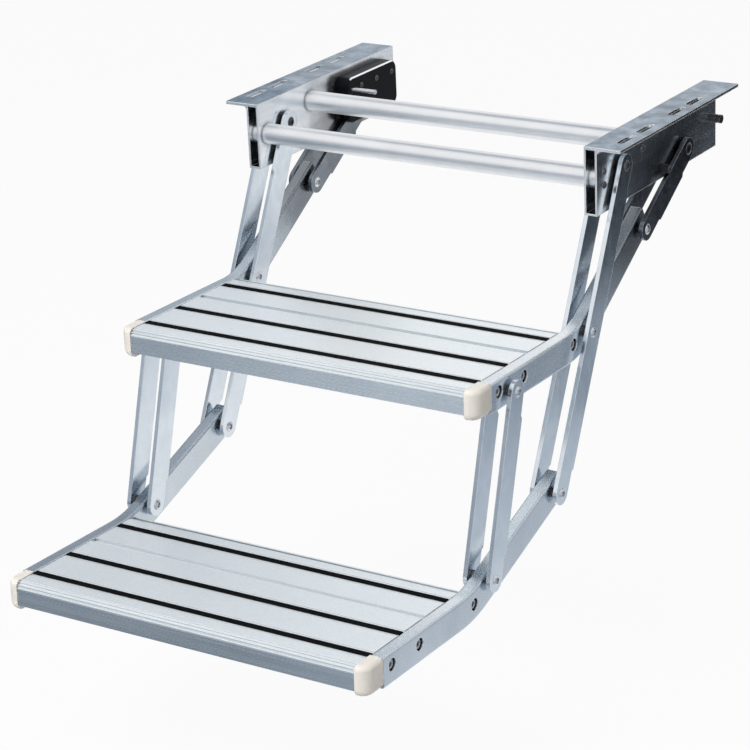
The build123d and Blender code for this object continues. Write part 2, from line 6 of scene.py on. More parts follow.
import bmesh
import bpy
import numpy as np
from mathutils import Matrix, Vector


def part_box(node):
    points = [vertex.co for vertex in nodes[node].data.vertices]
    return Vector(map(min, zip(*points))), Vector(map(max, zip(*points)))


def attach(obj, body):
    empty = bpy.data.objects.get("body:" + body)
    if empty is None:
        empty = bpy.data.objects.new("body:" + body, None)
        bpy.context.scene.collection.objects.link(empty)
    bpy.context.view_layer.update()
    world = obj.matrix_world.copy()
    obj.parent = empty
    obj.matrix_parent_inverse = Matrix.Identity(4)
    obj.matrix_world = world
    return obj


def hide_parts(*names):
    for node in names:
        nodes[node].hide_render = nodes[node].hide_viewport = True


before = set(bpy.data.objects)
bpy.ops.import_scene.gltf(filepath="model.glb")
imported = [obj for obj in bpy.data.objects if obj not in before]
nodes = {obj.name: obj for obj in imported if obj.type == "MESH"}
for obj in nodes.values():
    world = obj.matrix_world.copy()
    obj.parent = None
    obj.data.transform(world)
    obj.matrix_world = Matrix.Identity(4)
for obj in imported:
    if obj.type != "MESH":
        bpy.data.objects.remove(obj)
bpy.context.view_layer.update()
print("frame loaded:", len(nodes), "nodes")

# camera

cameraView = {
    "place": (1.5604, -2.6582, 0.8334),  # metres, in the step's own frame
    "turn": 32.83,     # degrees to the left of straight ahead
    "dip": 21.01,      # degrees below the horizon
    "roll": -2.59,
    "lens": 127.64,    # millimetres on a 36 mm sensor
}


def turned(right, up, back, place):
    # the matrix that turns an object's own axes to these three and moves it to the place
    matrix = Matrix.Identity(4)
    for column, axis in enumerate((right, up, back, place)):
        for row in range(3):
            matrix[row][column] = axis[row]
    return matrix


def addCamera(view):
    turn, dip, roll = radians(view["turn"]), radians(view["dip"]), radians(view["roll"])
    ahead = np.array([-sin(turn) * cos(dip), cos(turn) * cos(dip), -sin(dip)])
    side = np.array([cos(turn), sin(turn), 0.0])
    up = np.cross(side, ahead)
    # the picture's own right and up after the roll
    right = cos(roll) * side + sin(roll) * up
    top = -sin(roll) * side + cos(roll) * up
    data = bpy.data.cameras.new("photoCamera")
    data.lens = view["lens"]
    data.sensor_width = 36.0
    data.clip_end = 50.0
    camera = bpy.data.objects.new("photoCamera", data)
    camera.matrix_world = turned(right, top, -ahead, view["place"])
    bpy.context.scene.collection.objects.link(camera)
    bpy.context.scene.camera = camera


addCamera(cameraView)
bpy.context.scene.view_settings.view_transform = "Standard"
print("camera set")


# shader node groups, built once and placed in each material

floatKind, colourKind, vectorKind = "NodeSocketFloat", "NodeSocketColor", "NodeSocketVector"
mixLow, mixHigh, mixResult = 6, 7, 2  # the Mix node's sockets when it mixes colours


def newGroup(name, inputs, outputs):
    group = bpy.data.node_groups.new(name, "ShaderNodeTree")
    for label, kind, value in inputs:
        socket = group.interface.new_socket(label, in_out="INPUT", socket_type=kind)
        if value is not None:
            socket.default_value = value
    for label, kind in outputs:
        group.interface.new_socket(label, in_out="OUTPUT", socket_type=kind)
    return group, group.nodes.new("NodeGroupInput"), group.nodes.new("NodeGroupOutput")


def addNode(tree, kind, values=None, **settings):
    node = tree.nodes.new(kind)
    for key, value in settings.items():
        setattr(node, key, value)
    for key, value in (values or {}).items():
        node.inputs[key].default_value = value
    return node


def drawnGrainGroup():
    # long fine lines left by the die: noise squeezed hard across the drawing direction
    group, gin, gout = newGroup(
        "drawnGrain",
        [("Squeeze", vectorKind, (4.0, 900.0, 900.0)), ("Base Roughness", floatKind, 0.3),
         ("Roughness Spread", floatKind, 0.12)],
        [("Roughness", floatKind), ("Height", floatKind)])
    coords = addNode(group, "ShaderNodeTexCoord")
    stretch = addNode(group, "ShaderNodeVectorMath", operation="MULTIPLY")
    fine = addNode(group, "ShaderNodeTexNoise", {"Scale": 1.0, "Detail": 3.0, "Roughness": 0.6})
    spread = addNode(group, "ShaderNodeMapRange", {
        "From Min": 0.3, "From Max": 0.7, "To Min": -0.5, "To Max": 0.5})
    scaled = addNode(group, "ShaderNodeMath", operation="MULTIPLY")
    total = addNode(group, "ShaderNodeMath", operation="ADD")
    link = group.links.new
    link(coords.outputs["Object"], stretch.inputs[0])
    link(gin.outputs["Squeeze"], stretch.inputs[1])
    link(stretch.outputs[0], fine.inputs["Vector"])
    link(fine.outputs["Fac"], spread.inputs["Value"])
    link(spread.outputs["Result"], scaled.inputs[0])
    link(gin.outputs["Roughness Spread"], scaled.inputs[1])
    link(scaled.outputs[0], total.inputs[0])
    link(gin.outputs["Base Roughness"], total.inputs[1])
    link(total.outputs[0], gout.inputs["Roughness"])
    link(fine.outputs["Fac"], gout.inputs["Height"])
    return group


def cloudGroup():
    # soft patches from handling and cleaning, as a factor between two tints
    group, gin, gout = newGroup(
        "handlingClouds",
        [("Patch Scale", floatKind, 14.0), ("Low Colour", colourKind, (0.6, 0.6, 0.6, 1)),
         ("High Colour", colourKind, (0.8, 0.8, 0.8, 1)), ("From", floatKind, 0.35), ("To", floatKind, 0.65)],
        [("Colour", colourKind)])
    coords = addNode(group, "ShaderNodeTexCoord")
    noise = addNode(group, "ShaderNodeTexNoise", {"Detail": 5.0, "Roughness": 0.62, "Distortion": 0.4})
    ramp = addNode(group, "ShaderNodeMapRange")
    mix = addNode(group, "ShaderNodeMix", data_type="RGBA")
    link = group.links.new
    link(coords.outputs["Object"], noise.inputs["Vector"])
    link(gin.outputs["Patch Scale"], noise.inputs["Scale"])
    link(noise.outputs["Fac"], ramp.inputs["Value"])
    link(gin.outputs["From"], ramp.inputs["From Min"])
    link(gin.outputs["To"], ramp.inputs["From Max"])
    link(ramp.outputs["Result"], mix.inputs["Factor"])
    link(gin.outputs["Low Colour"], mix.inputs[mixLow])
    link(gin.outputs["High Colour"], mix.inputs[mixHigh])
    link(mix.outputs[mixResult], gout.inputs["Colour"])
    return group


def edgeGroup():
    # where the rounded normal leaves the true one there is an edge, given a lighter colour as a painted
    # highlight;
    # narrow corners, where another face is close, are darkened as painted shade
    group, gin, gout = newGroup(
        "edgeHighlightAndCornerShade",
        [("Width", floatKind, 0.001), ("Gain", floatKind, 6.0), ("Colour", colourKind, (0.7, 0.7, 0.7, 1)),
         ("Edge Highlight Colour", colourKind, (0.9, 0.9, 0.9, 1)), ("Corner Shade Reach", floatKind, 0.004),
         ("Corner Shade", floatKind, 0.6)],
        [("Colour", colourKind), ("Edge", floatKind), ("Normal", vectorKind)])
    bevel = addNode(group, "ShaderNodeBevel")
    bevel.samples = 4
    geometry = addNode(group, "ShaderNodeNewGeometry")
    dot = addNode(group, "ShaderNodeVectorMath", operation="DOT_PRODUCT")
    flip = addNode(group, "ShaderNodeMath", {0: 1.0}, operation="SUBTRACT")
    gain = addNode(group, "ShaderNodeMath", operation="MULTIPLY")
    gain.use_clamp = True
    mix = addNode(group, "ShaderNodeMix", data_type="RGBA")
    closeness = addNode(group, "ShaderNodeAmbientOcclusion")
    closeness.samples = 8
    openness = addNode(group, "ShaderNodeMapRange", {"From Min": 0.25, "From Max": 0.85})
    deepestShade = addNode(group, "ShaderNodeMath", {0: 1.0}, operation="SUBTRACT")
    shade = addNode(group, "ShaderNodeMapRange")
    cornerShaded = addNode(group, "ShaderNodeVectorMath", operation="SCALE")
    link = group.links.new
    link(gin.outputs["Corner Shade Reach"], closeness.inputs["Distance"])
    link(closeness.outputs["AO"], openness.inputs["Value"])
    link(gin.outputs["Corner Shade"], deepestShade.inputs[1])
    link(openness.outputs["Result"], shade.inputs["Value"])
    link(deepestShade.outputs[0], shade.inputs["To Min"])
    link(mix.outputs[mixResult], cornerShaded.inputs[0])
    link(shade.outputs["Result"], cornerShaded.inputs["Scale"])
    link(gin.outputs["Width"], bevel.inputs["Radius"])
    link(bevel.outputs["Normal"], dot.inputs[0])
    link(geometry.outputs["True Normal"], dot.inputs[1])
    link(dot.outputs["Value"], flip.inputs[1])
    link(flip.outputs[0], gain.inputs[0])
    link(gin.outputs["Gain"], gain.inputs[1])
    link(gain.outputs[0], mix.inputs["Factor"])
    link(gin.outputs["Colour"], mix.inputs[mixLow])
    link(gin.outputs["Edge Highlight Colour"], mix.inputs[mixHigh])
    link(cornerShaded.outputs[0], gout.inputs["Colour"])
    link(gain.outputs[0], gout.inputs["Edge"])
    link(bevel.outputs["Normal"], gout.inputs["Normal"])
    return group


def shadePatchGroup():
    # painted shade round a pivot, dark inside and clear outside: the distance from a line along X,
    # uneven by some noise, from Inner to Outer
    group, gin, gout = newGroup(
        "roundShadePatch",
        [("Colour", colourKind, (0.7, 0.7, 0.7, 1)), ("Centre", vectorKind, (0.0, 0.0, 0.0)),
         ("Inner", floatKind, 0.03), ("Outer", floatKind, 0.1), ("Shade", floatKind, 0.3)],
        [("Colour", colourKind)])
    coords = addNode(group, "ShaderNodeTexCoord")
    apart = addNode(group, "ShaderNodeVectorMath", operation="SUBTRACT")
    flat = addNode(group, "ShaderNodeVectorMath", {1: (0.0, 1.0, 1.0)}, operation="MULTIPLY")
    length = addNode(group, "ShaderNodeVectorMath", operation="LENGTH")
    noise = addNode(group, "ShaderNodeTexNoise", {"Scale": 24.0, "Detail": 4.0, "Roughness": 0.6})
    uneven = addNode(group, "ShaderNodeMath", {1: 0.09, 2: -0.045}, operation="MULTIPLY_ADD")
    total = addNode(group, "ShaderNodeMath", operation="ADD")
    ramp = addNode(group, "ShaderNodeMapRange", interpolation_type="SMOOTHSTEP")
    shaded = addNode(group, "ShaderNodeVectorMath", operation="SCALE")
    link = group.links.new
    link(coords.outputs["Object"], apart.inputs[0])
    link(gin.outputs["Centre"], apart.inputs[1])
    link(apart.outputs[0], flat.inputs[0])
    link(flat.outputs[0], length.inputs[0])
    link(coords.outputs["Object"], noise.inputs["Vector"])
    link(noise.outputs["Fac"], uneven.inputs[0])
    link(length.outputs["Value"], total.inputs[0])
    link(uneven.outputs[0], total.inputs[1])
    link(total.outputs[0], ramp.inputs["Value"])
    link(gin.outputs["Inner"], ramp.inputs["From Min"])
    link(gin.outputs["Outer"], ramp.inputs["From Max"])
    link(gin.outputs["Shade"], ramp.inputs["To Min"])
    link(gin.outputs["Colour"], shaded.inputs[0])
    link(ramp.outputs["Result"], shaded.inputs["Scale"])
    link(shaded.outputs[0], gout.inputs["Colour"])
    return group


def facingUpGroup():
    # 1 on faces that look straight up, 0 on the others
    group, gin, gout = newGroup(
        "facingUp", [("From", floatKind, 0.8), ("To", floatKind, 0.98)], [("Up", floatKind)])
    coords = addNode(group, "ShaderNodeTexCoord")
    apart = addNode(group, "ShaderNodeSeparateXYZ")
    facing = addNode(group, "ShaderNodeMapRange")
    link = group.links.new
    link(coords.outputs["Normal"], apart.inputs[0])
    link(apart.outputs["Z"], facing.inputs["Value"])
    link(gin.outputs["From"], facing.inputs["From Min"])
    link(gin.outputs["To"], facing.inputs["From Max"])
    link(facing.outputs["Result"], gout.inputs["Up"])
    return group


groups = {
    "grain": drawnGrainGroup(), "clouds": cloudGroup(), "edges": edgeGroup(), "shadePatch": shadePatchGroup(),
    "facingUp": facingUpGroup()}
print("shader groups made:", len(groups))


# materials

def placeGroup(tree, name, values):
    node = tree.nodes.new("ShaderNodeGroup")
    node.node_tree = groups[name]
    for key, value in values.items():
        node.inputs[key].default_value = value
    return node


def rgba(colour):
    return (colour[0], colour[1], colour[2], 1.0)


def newMaterial(name, values):
    material = bpy.data.materials.new(name)
    material.use_nodes = True
    tree = material.node_tree
    tree.nodes.clear()
    shader = addNode(tree, "ShaderNodeBsdfPrincipled", values)
    output = tree.nodes.new("ShaderNodeOutputMaterial")
    tree.links.new(shader.outputs["BSDF"], output.inputs["Surface"])
    return material, tree, shader


def topTint(tree, body, look):
    # faces looking up get their own mottled colour: on the treads a duller brushed finish, on the rails a
    # lighter top as painted light, on the brackets a dark blue top as painted reflection
    mottle = placeGroup(tree, "clouds", {
        "Patch Scale": look["topPatch"], "Low Colour": rgba(look["topLow"]),
        "High Colour": rgba(look["topHigh"]), "From": 0.36, "To": 0.66})
    facing = placeGroup(tree, "facingUp", {})
    mix = addNode(tree, "ShaderNodeMix", data_type="RGBA")
    link = tree.links.new
    link(facing.outputs["Up"], mix.inputs["Factor"])
    link(body, mix.inputs[mixLow])
    link(mottle.outputs["Colour"], mix.inputs[mixHigh])
    return mix.outputs[mixResult]


def mattTop(tree, shader, grain, look):
    # the top is brushed matt and catches light from all round; the fascia and nose stay bright drawn metal
    up = placeGroup(tree, "facingUp", {}).outputs["Up"]
    metal = addNode(tree, "ShaderNodeMapRange", {"To Min": 1.0, "To Max": look["topMetallic"]})
    extra = addNode(tree, "ShaderNodeMath", {1: look["topRougher"]}, operation="MULTIPLY")
    total = addNode(tree, "ShaderNodeMath", operation="ADD")
    link = tree.links.new
    link(up, metal.inputs["Value"])
    link(metal.outputs["Result"], shader.inputs["Metallic"])
    link(up, extra.inputs[0])
    link(extra.outputs[0], total.inputs[0])
    link(grain.outputs["Roughness"], total.inputs[1])
    link(total.outputs[0], shader.inputs["Roughness"])


def smokyBloom(tree, shader, edges, look):
    # white bloom in soft patches and scuffed edges scatter light, so both are less than fully metallic
    coords = addNode(tree, "ShaderNodeTexCoord")
    noise = addNode(tree, "ShaderNodeTexNoise", {"Scale": 11.0, "Detail": 4.0, "Roughness": 0.55})
    patch = addNode(tree, "ShaderNodeMapRange", {
        "From Min": 0.58, "From Max": 0.8, "To Max": look["smudge"]})
    scuff = addNode(tree, "ShaderNodeMath", {1: 1.0 - look["edgeMetallic"]}, operation="MULTIPLY")
    total = addNode(tree, "ShaderNodeMath", operation="MAXIMUM")
    metal = addNode(tree, "ShaderNodeMath", {0: 1.0}, operation="SUBTRACT")
    link = tree.links.new
    link(coords.outputs["Object"], noise.inputs["Vector"])
    link(noise.outputs["Fac"], patch.inputs["Value"])
    link(edges.outputs["Edge"], scuff.inputs[0])
    link(patch.outputs["Result"], total.inputs[0])
    link(scuff.outputs[0], total.inputs[1])
    link(total.outputs[0], metal.inputs[1])
    link(metal.outputs[0], shader.inputs["Metallic"])


def metalMaterial(name, look):
    # drawn or rolled metal: clouds give the colour, grain the roughness, edges a painted highlight and close
    # corners painted shade
    material, tree, shader = newMaterial(name, {"Metallic": look.get("metallic", 1.0)})
    link = tree.links.new
    clouds = placeGroup(tree, "clouds", {
        "Patch Scale": look["patch"], "Low Colour": rgba(look["low"]), "High Colour": rgba(look["high"]),
        "From": 0.32, "To": 0.68})
    edges = placeGroup(tree, "edges", {
        "Width": look["edgeWidth"], "Gain": look["edgeGain"], "Edge Highlight Colour": rgba(look["edge"]),
        "Corner Shade Reach": look.get("cornerShadeReach", 0.004), "Corner Shade": look.get("cornerShade", 0.6)})
    grain = placeGroup(tree, "grain", {
        "Squeeze": look["squeeze"], "Base Roughness": look["roughness"],
        "Roughness Spread": look["spread"]})
    bump = addNode(tree, "ShaderNodeBump", {"Strength": look["bump"], "Distance": 0.0002})
    body = clouds.outputs["Colour"]
    if "topLow" in look:
        body = topTint(tree, body, look)
    if "shadePatch" in look:
        shadePatch = placeGroup(tree, "shadePatch", look["shadePatch"])
        link(body, shadePatch.inputs["Colour"])
        body = shadePatch.outputs["Colour"]
    link(body, edges.inputs["Colour"])
    link(edges.outputs["Colour"], shader.inputs["Base Color"])
    link(grain.outputs["Roughness"], shader.inputs["Roughness"])
    link(grain.outputs["Height"], bump.inputs["Height"])
    link(edges.outputs["Normal"], bump.inputs["Normal"])
    link(bump.outputs["Normal"], shader.inputs["Normal"])
    if "topRougher" in look:
        mattTop(tree, shader, grain, look)
    if "smudge" in look:
        smokyBloom(tree, shader, edges, look)
    return material


# the rails get painted shade round the drive links' lower pins, the brackets round the drive shaft
linkPin = np.mean([np.array(corner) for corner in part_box("link_pin_cores")], axis=0)

metalLooks = {
    "treadMetal": {
        "low": (0.8, 0.86, 0.9), "high": (0.88, 0.93, 0.96), "edge": (0.94, 0.96, 0.97), "patch": 9.0,
        "roughness": 0.28, "spread": 0.1, "bump": 0.08, "squeeze": (3.0, 420.0, 420.0),
        "topLow": (0.84, 0.895, 0.93), "topHigh": (0.97, 0.995, 1.0), "topPatch": 520.0, "topMetallic": 0.48,
        "topRougher": 0.1, "cornerShadeReach": 0.005, "cornerShade": 0.4,
        "edgeWidth": 0.0006, "edgeGain": 4.0},
    "railMetal": {
        # the darker side colours and the lighter top colours are painted light and shade
        "low": (0.54, 0.595, 0.65), "high": (0.63, 0.68, 0.73), "edge": (0.93, 0.94, 0.95), "patch": 16.0,
        "topLow": (0.85, 0.885, 0.915), "topHigh": (0.91, 0.935, 0.955), "topPatch": 16.0,
        "roughness": 0.27, "spread": 0.03, "bump": 0.004, "squeeze": (400.0, 60.0, 400.0),
        "shadePatch": {"Centre": tuple(linkPin), "Inner": 0.02, "Outer": 0.14, "Shade": 0.4},
        "cornerShade": 0.35, "edgeWidth": 0.0022, "edgeGain": 2.0},
    "barMetal": {
        "low": (0.66, 0.72, 0.78), "high": (0.78, 0.83, 0.88), "edge": (0.92, 0.93, 0.95), "patch": 20.0,
        "roughness": 0.2, "spread": 0.08, "bump": 0.025, "squeeze": (300.0, 120.0, 60.0),
        "edgeWidth": 0.0009, "edgeGain": 5.0},
    # the links' dark base colour is painted shade, standing in for dark reflections
    "linkMetal": {
        "low": (0.15, 0.165, 0.185), "high": (0.25, 0.275, 0.305), "edge": (0.58, 0.61, 0.64), "patch": 26.0,
        "roughness": 0.22, "spread": 0.12, "bump": 0.03, "squeeze": (300.0, 120.0, 120.0),
        "edgeWidth": 0.0008, "edgeGain": 5.0},
    "bracketMetal": {
        "low": (0.79, 0.83, 0.87), "high": (0.93, 0.95, 0.97), "edge": (0.95, 0.96, 0.97), "patch": 22.0,
        "cornerShadeReach": 0.01, "cornerShade": 0.85,
        "roughness": 0.22, "spread": 0.08, "bump": 0.008, "squeeze": (120.0, 8.0, 120.0),
        # the dark blue top colours are a painted reflection
        "edgeWidth": 0.0018, "edgeGain": 6.0, "topLow": (0.11, 0.17, 0.235), "topHigh": (0.31, 0.39, 0.48),
        "topPatch": 46.0, "smudge": 0.35, "edgeMetallic": 0.1,
        "shadePatch": {"Centre": (0.0, 0.05, -0.09), "Inner": 0.04, "Outer": 0.12, "Shade": 0.42}},
    "tubeMetal": {
        "low": (0.8, 0.81, 0.83), "high": (0.87, 0.88, 0.9), "edge": (0.95, 0.95, 0.96), "patch": 12.0,
        "roughness": 0.36, "spread": 0.1, "bump": 0.06, "squeeze": (5.0, 600.0, 600.0),
        "edgeWidth": 0.0008, "edgeGain": 3.0},
    "rivetMetal": {
        "low": (0.55, 0.57, 0.6), "high": (0.72, 0.74, 0.77), "edge": (0.9, 0.9, 0.92), "patch": 90.0,
        "roughness": 0.28, "spread": 0.15, "bump": 0.1, "squeeze": (300.0, 300.0, 300.0),
        "edgeWidth": 0.0006, "edgeGain": 4.0},
    "greyZinc": {
        "low": (0.34, 0.36, 0.39), "high": (0.55, 0.57, 0.61), "edge": (0.85, 0.86, 0.88), "patch": 120.0,
        "roughness": 0.3, "spread": 0.15, "bump": 0.1, "squeeze": (300.0, 300.0, 300.0), "metallic": 0.5,
        "edgeWidth": 0.0008, "edgeGain": 4.0, "cornerShade": 0.0},
    "darkSteel": {
        "low": (0.05, 0.05, 0.055), "high": (0.13, 0.13, 0.14), "edge": (0.5, 0.5, 0.52), "patch": 90.0,
        "roughness": 0.34, "spread": 0.15, "bump": 0.12, "squeeze": (400.0, 400.0, 400.0),
        "edgeWidth": 0.0005, "edgeGain": 4.0},
}


def plasticMaterial(name, look):
    # moulded plastic or rubber: clouds for the colour, a fine pebbled skin for the bump
    material, tree, shader = newMaterial(name, {
        "Metallic": 0.0, "Specular IOR Level": look["specular"], "Subsurface Weight": look["glow"],
        "Subsurface Radius": (1.0, 0.95, 0.85), "Subsurface Scale": 0.004})
    link = tree.links.new
    clouds = placeGroup(tree, "clouds", {
        "Patch Scale": look["patch"], "Low Colour": rgba(look["low"]), "High Colour": rgba(look["high"]),
        "From": 0.3, "To": 0.7})
    # edges get a lighter colour as a painted highlight, close corners a darker one as painted shade
    edges = placeGroup(tree, "edges", {
        "Width": look["edgeWidth"], "Gain": look["edgeGain"], "Edge Highlight Colour": rgba(look["edge"])})
    grain = placeGroup(tree, "grain", {
        "Squeeze": look["squeeze"], "Base Roughness": look["roughness"],
        "Roughness Spread": look["spread"]})
    bump = addNode(tree, "ShaderNodeBump", {"Strength": look["bump"], "Distance": 0.0003})
    link(clouds.outputs["Colour"], edges.inputs["Colour"])
    link(edges.outputs["Colour"], shader.inputs["Base Color"])
    link(grain.outputs["Roughness"], shader.inputs["Roughness"])
    link(grain.outputs["Height"], bump.inputs["Height"])
    link(edges.outputs["Normal"], bump.inputs["Normal"])
    link(bump.outputs["Normal"], shader.inputs["Normal"])
    if look.get("brightRim"):
        highlightedTopChamfer(tree, shader, edges.outputs["Colour"])
    return material


def highlightedTopChamfer(tree, shader, body):
    # the chamfer along the cover's top, between up and outward, is made bright metal: a painted highlight line
    # along the top edge
    coords = addNode(tree, "ShaderNodeTexCoord")
    along = addNode(tree, "ShaderNodeVectorMath", {1: (0.7071, 0.0, 0.7071)}, operation="DOT_PRODUCT")
    mask = addNode(tree, "ShaderNodeMapRange", {"From Min": 0.93, "From Max": 0.97})
    mix = addNode(tree, "ShaderNodeMix", {mixHigh: (0.93, 0.94, 0.95, 1.0)}, data_type="RGBA")
    link = tree.links.new
    link(coords.outputs["Normal"], along.inputs[0])
    link(along.outputs["Value"], mask.inputs["Value"])
    link(mask.outputs["Result"], mix.inputs["Factor"])
    link(body, mix.inputs[mixLow])
    link(mix.outputs[mixResult], shader.inputs["Base Color"])
    link(mask.outputs["Result"], shader.inputs["Metallic"])


plasticLooks = {
    "capNylon": {
        "low": (0.78, 0.735, 0.665), "high": (0.86, 0.825, 0.765), "edge": (0.89, 0.87, 0.83), "patch": 30.0,
        "roughness": 0.4, "spread": 0.1, "bump": 0.08, "squeeze": (500.0, 500.0, 500.0), "specular": 0.45,
        "glow": 0.2, "edgeWidth": 0.001, "edgeGain": 2.0},
    "stripRubber": {
        "low": (0.0015, 0.0018, 0.0022), "high": (0.005, 0.0055, 0.0065), "edge": (0.015, 0.015, 0.016),
        "patch": 60.0,
        "roughness": 0.7, "spread": 0.15, "bump": 0.25, "squeeze": (900.0, 900.0, 900.0), "specular": 0.06,
        "glow": 0.0, "edgeWidth": 0.0004, "edgeGain": 2.0},
    "bufferRubber": {
        "low": (0.012, 0.012, 0.013), "high": (0.03, 0.03, 0.032), "edge": (0.06, 0.06, 0.06), "patch": 80.0,
        "roughness": 0.5, "spread": 0.15, "bump": 0.3, "squeeze": (800.0, 800.0, 800.0), "specular": 0.35,
        "glow": 0.0, "edgeWidth": 0.0005, "edgeGain": 2.0},
    "bushNylon": {
        "low": (0.1, 0.1, 0.1), "high": (0.16, 0.16, 0.16), "edge": (0.2, 0.2, 0.2), "patch": 60.0,
        "roughness": 0.45, "spread": 0.1, "bump": 0.1, "squeeze": (600.0, 600.0, 600.0), "specular": 0.4,
        "glow": 0.0, "edgeWidth": 0.0005, "edgeGain": 2.0},
    "unitPlastic": {
        "low": (0.0015, 0.002, 0.0028), "high": (0.004, 0.005, 0.0065), "edge": (0.012, 0.013, 0.015),
        "patch": 30.0,
        "roughness": 0.34, "spread": 0.1, "bump": 0.05, "squeeze": (900.0, 900.0, 900.0), "specular": 0.07,
        "glow": 0.0, "edgeWidth": 0.0006, "edgeGain": 2.0, "brightRim": True},
}

materials = {name: metalMaterial(name, look) for name, look in metalLooks.items()}
materials.update({name: plasticMaterial(name, look) for name, look in plasticLooks.items()})
print("materials made:", len(materials))

# the end of a node's name gives its finish; all other small steel pieces are bright rivet metal
finishes = {
    "_tread": "treadMetal", "_rail": "railMetal", "_arm": "barMetal", "_link": "linkMetal",
    "_bracket": "bracketMetal", "_cross_tube": "tubeMetal", "_strip": "stripRubber", "_cap": "capNylon",
    "stop_buffers": "bufferRubber", "bushes": "bushNylon", "shaft_bearings": "bushNylon",
    "drive_unit_case": "unitPlastic", "drive_unit_cover": "unitPlastic", "_tread_screws": "greyZinc",
    "grooved_posts": "darkSteel", "drive_unit_screws": "darkSteel", "stop_pins": "darkSteel",
    # the top pivot pins take dark steel as painted shade, where the surroundings are dark; they are the same
    # pins as the bright ones
    "shaft_end_screws": "darkSteel", "top_pivot_pins": "darkSteel", "cross_tube_screws": "darkSteel",
}


def finishOf(node):
    for ending, finish in finishes.items():
        if node.endswith(ending):
            return finish
    return "rivetMetal"


for name, node in nodes.items():
    node.data.materials.clear()
    node.data.materials.append(materials[finishOf(name)])
print("materials assigned")


def gridQuads(rows, columns):
    # the four corners of every cell of a grid of points, by number
    index = np.arange(rows * columns).reshape(rows, columns)
    return np.stack([index[:-1, :-1], index[:-1, 1:], index[1:, 1:], index[1:, :-1]], axis=-1).reshape(-1, 4)


def newPiece(name, mesh):
    piece = bpy.data.objects.new(name, mesh)
    bpy.context.scene.collection.objects.link(piece)
    return piece


def gridSurface(name, shape):
    # a surface given as an array of points, rows by columns, joined by quads
    mesh = bpy.data.meshes.new(name)
    mesh.from_pydata(shape.reshape(-1, 3).tolist(), [], gridQuads(*shape.shape[:2]).tolist())
    mesh.update()
    return newPiece(name, mesh)


# tread screws: hexagon socket heads that stand in the rails' access holes

treadScrews = {
    "steps": {"upper": (-0.3774, -0.1953, 1.2), "lower": (-0.6129, -0.4134, 1.8)},  # y, z and slope in degrees
    "along": (0.016, 0.071, 0.186),  # from the start of the deck, down its slope
    "drop": 0.0137,                  # below the deck
    "seat": 0.2222,                  # x of the head's underside
    "top": 0.2334,
    "headRadius": 0.0062,
    "chamfer": 0.0008,
    "halfFlat": 0.0028,              # half the width of the hexagon key
    "socketDepth": 0.0045,
    "shankRadius": 0.0024,
    "shankEnd": 0.1962,
    "firstTurn": 0.3,                # each screw stopped at another angle, in radians
    "nextTurn": 0.7,
    "facets": 36,
}


def screwShape(look, y, z, turn):
    # rings round X, each at one depth; a ring's radius is constant, except in the socket,
    # where it is the half width over the cosine of the angle folded into one sixth of a turn
    angle = np.linspace(0.0, 2 * np.pi, look["facets"] + 1)
    folded = (angle + turn) % (np.pi / 3) - np.pi / 6
    hexagon = look["halfFlat"] / np.cos(folded)
    one = np.ones_like(angle)
    head, top = look["headRadius"], look["top"]
    floorAt = top - look["socketDepth"]
    rings = [
        (floorAt, 0 * one), (floorAt, hexagon), (top, hexagon), (top, (head - look["chamfer"]) * one),
        (top - look["chamfer"], head * one), (look["seat"], head * one),
        (look["seat"], look["shankRadius"] * one), (look["shankEnd"], look["shankRadius"] * one),
        (look["shankEnd"], 0 * one)]
    depth = np.array([ring[0] for ring in rings])[:, None] * one
    radius = np.stack([ring[1] for ring in rings])
    return np.stack([depth, y + radius * np.cos(angle), z + radius * np.sin(angle)], axis=-1)


def joinShapes(name, shapes):
    # several grids in one mesh, their seams and poles closed and their faces turned outwards
    rows, columns = shapes[0].shape[:2]
    starts = np.arange(len(shapes))[:, None, None] * rows * columns
    quads = (gridQuads(rows, columns)[None] + starts).reshape(-1, 4)
    mesh = bpy.data.meshes.new(name)
    mesh.from_pydata(np.concatenate([shape.reshape(-1, 3) for shape in shapes]).tolist(), [], quads.tolist())
    work = bmesh.new()
    work.from_mesh(mesh)
    bmesh.ops.remove_doubles(work, verts=work.verts, dist=1e-7)
    bmesh.ops.recalc_face_normals(work, faces=work.faces)
    work.to_mesh(mesh)
    work.free()
    return newPiece(name, mesh)


def addTreadScrews(step):
    look = treadScrews
    startY, startZ, slope = look["steps"][step]
    slope = radians(slope)
    shapes = []
    for number, along in enumerate(look["along"]):
        y = startY + along * cos(slope) - look["drop"] * sin(slope)
        z = startZ - along * sin(slope) - look["drop"] * cos(slope)
        turn = look["firstTurn"] + look["nextTurn"] * number
        for side in (-1.0, 1.0):
            shapes.append(screwShape(look, y, z, turn) * (side, 1.0, 1.0))
    piece = joinShapes(step + "SocketScrews", shapes)
    piece.data.materials.append(materials["greyZinc"])
    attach(piece, step + "_step")
    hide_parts(step + "_tread_screws")


for step in treadScrews["steps"]:
    addTreadScrews(step)
    print(step, "tread screws placed")


# floor, background and lights

studio = {
    "floorHeight": -0.66,
    "floorSize": 14.0,
    "floorGrey": 0.62,
    "floorWhite": 0.94,  # how much of the floor's own shading the plain white covers, for camera and mirrors
    "ambient": 0.42,
    "lampsAimAt": (0, -0.3, -0.2),
    "lamps": {
        "keyLamp": {"place": (-0.3, -2.6, 2.4), "size": 1.8, "power": 98.0},
        "fillLamp": {"place": (2.4, -1.6, 1.6), "size": 1.4, "power": 3.0},
    },
}


def backgroundMask(tree):
    # rays from the camera, and those that a mirror or glass sends on, see the plain background
    path = tree.nodes.new("ShaderNodeLightPath")
    first = addNode(tree, "ShaderNodeMath", operation="MAXIMUM")
    second = addNode(tree, "ShaderNodeMath", operation="MAXIMUM")
    tree.links.new(path.outputs["Is Camera Ray"], first.inputs[0])
    tree.links.new(path.outputs["Is Glossy Ray"], first.inputs[1])
    tree.links.new(first.outputs[0], second.inputs[0])
    tree.links.new(path.outputs["Is Transmission Ray"], second.inputs[1])
    return second.outputs[0]


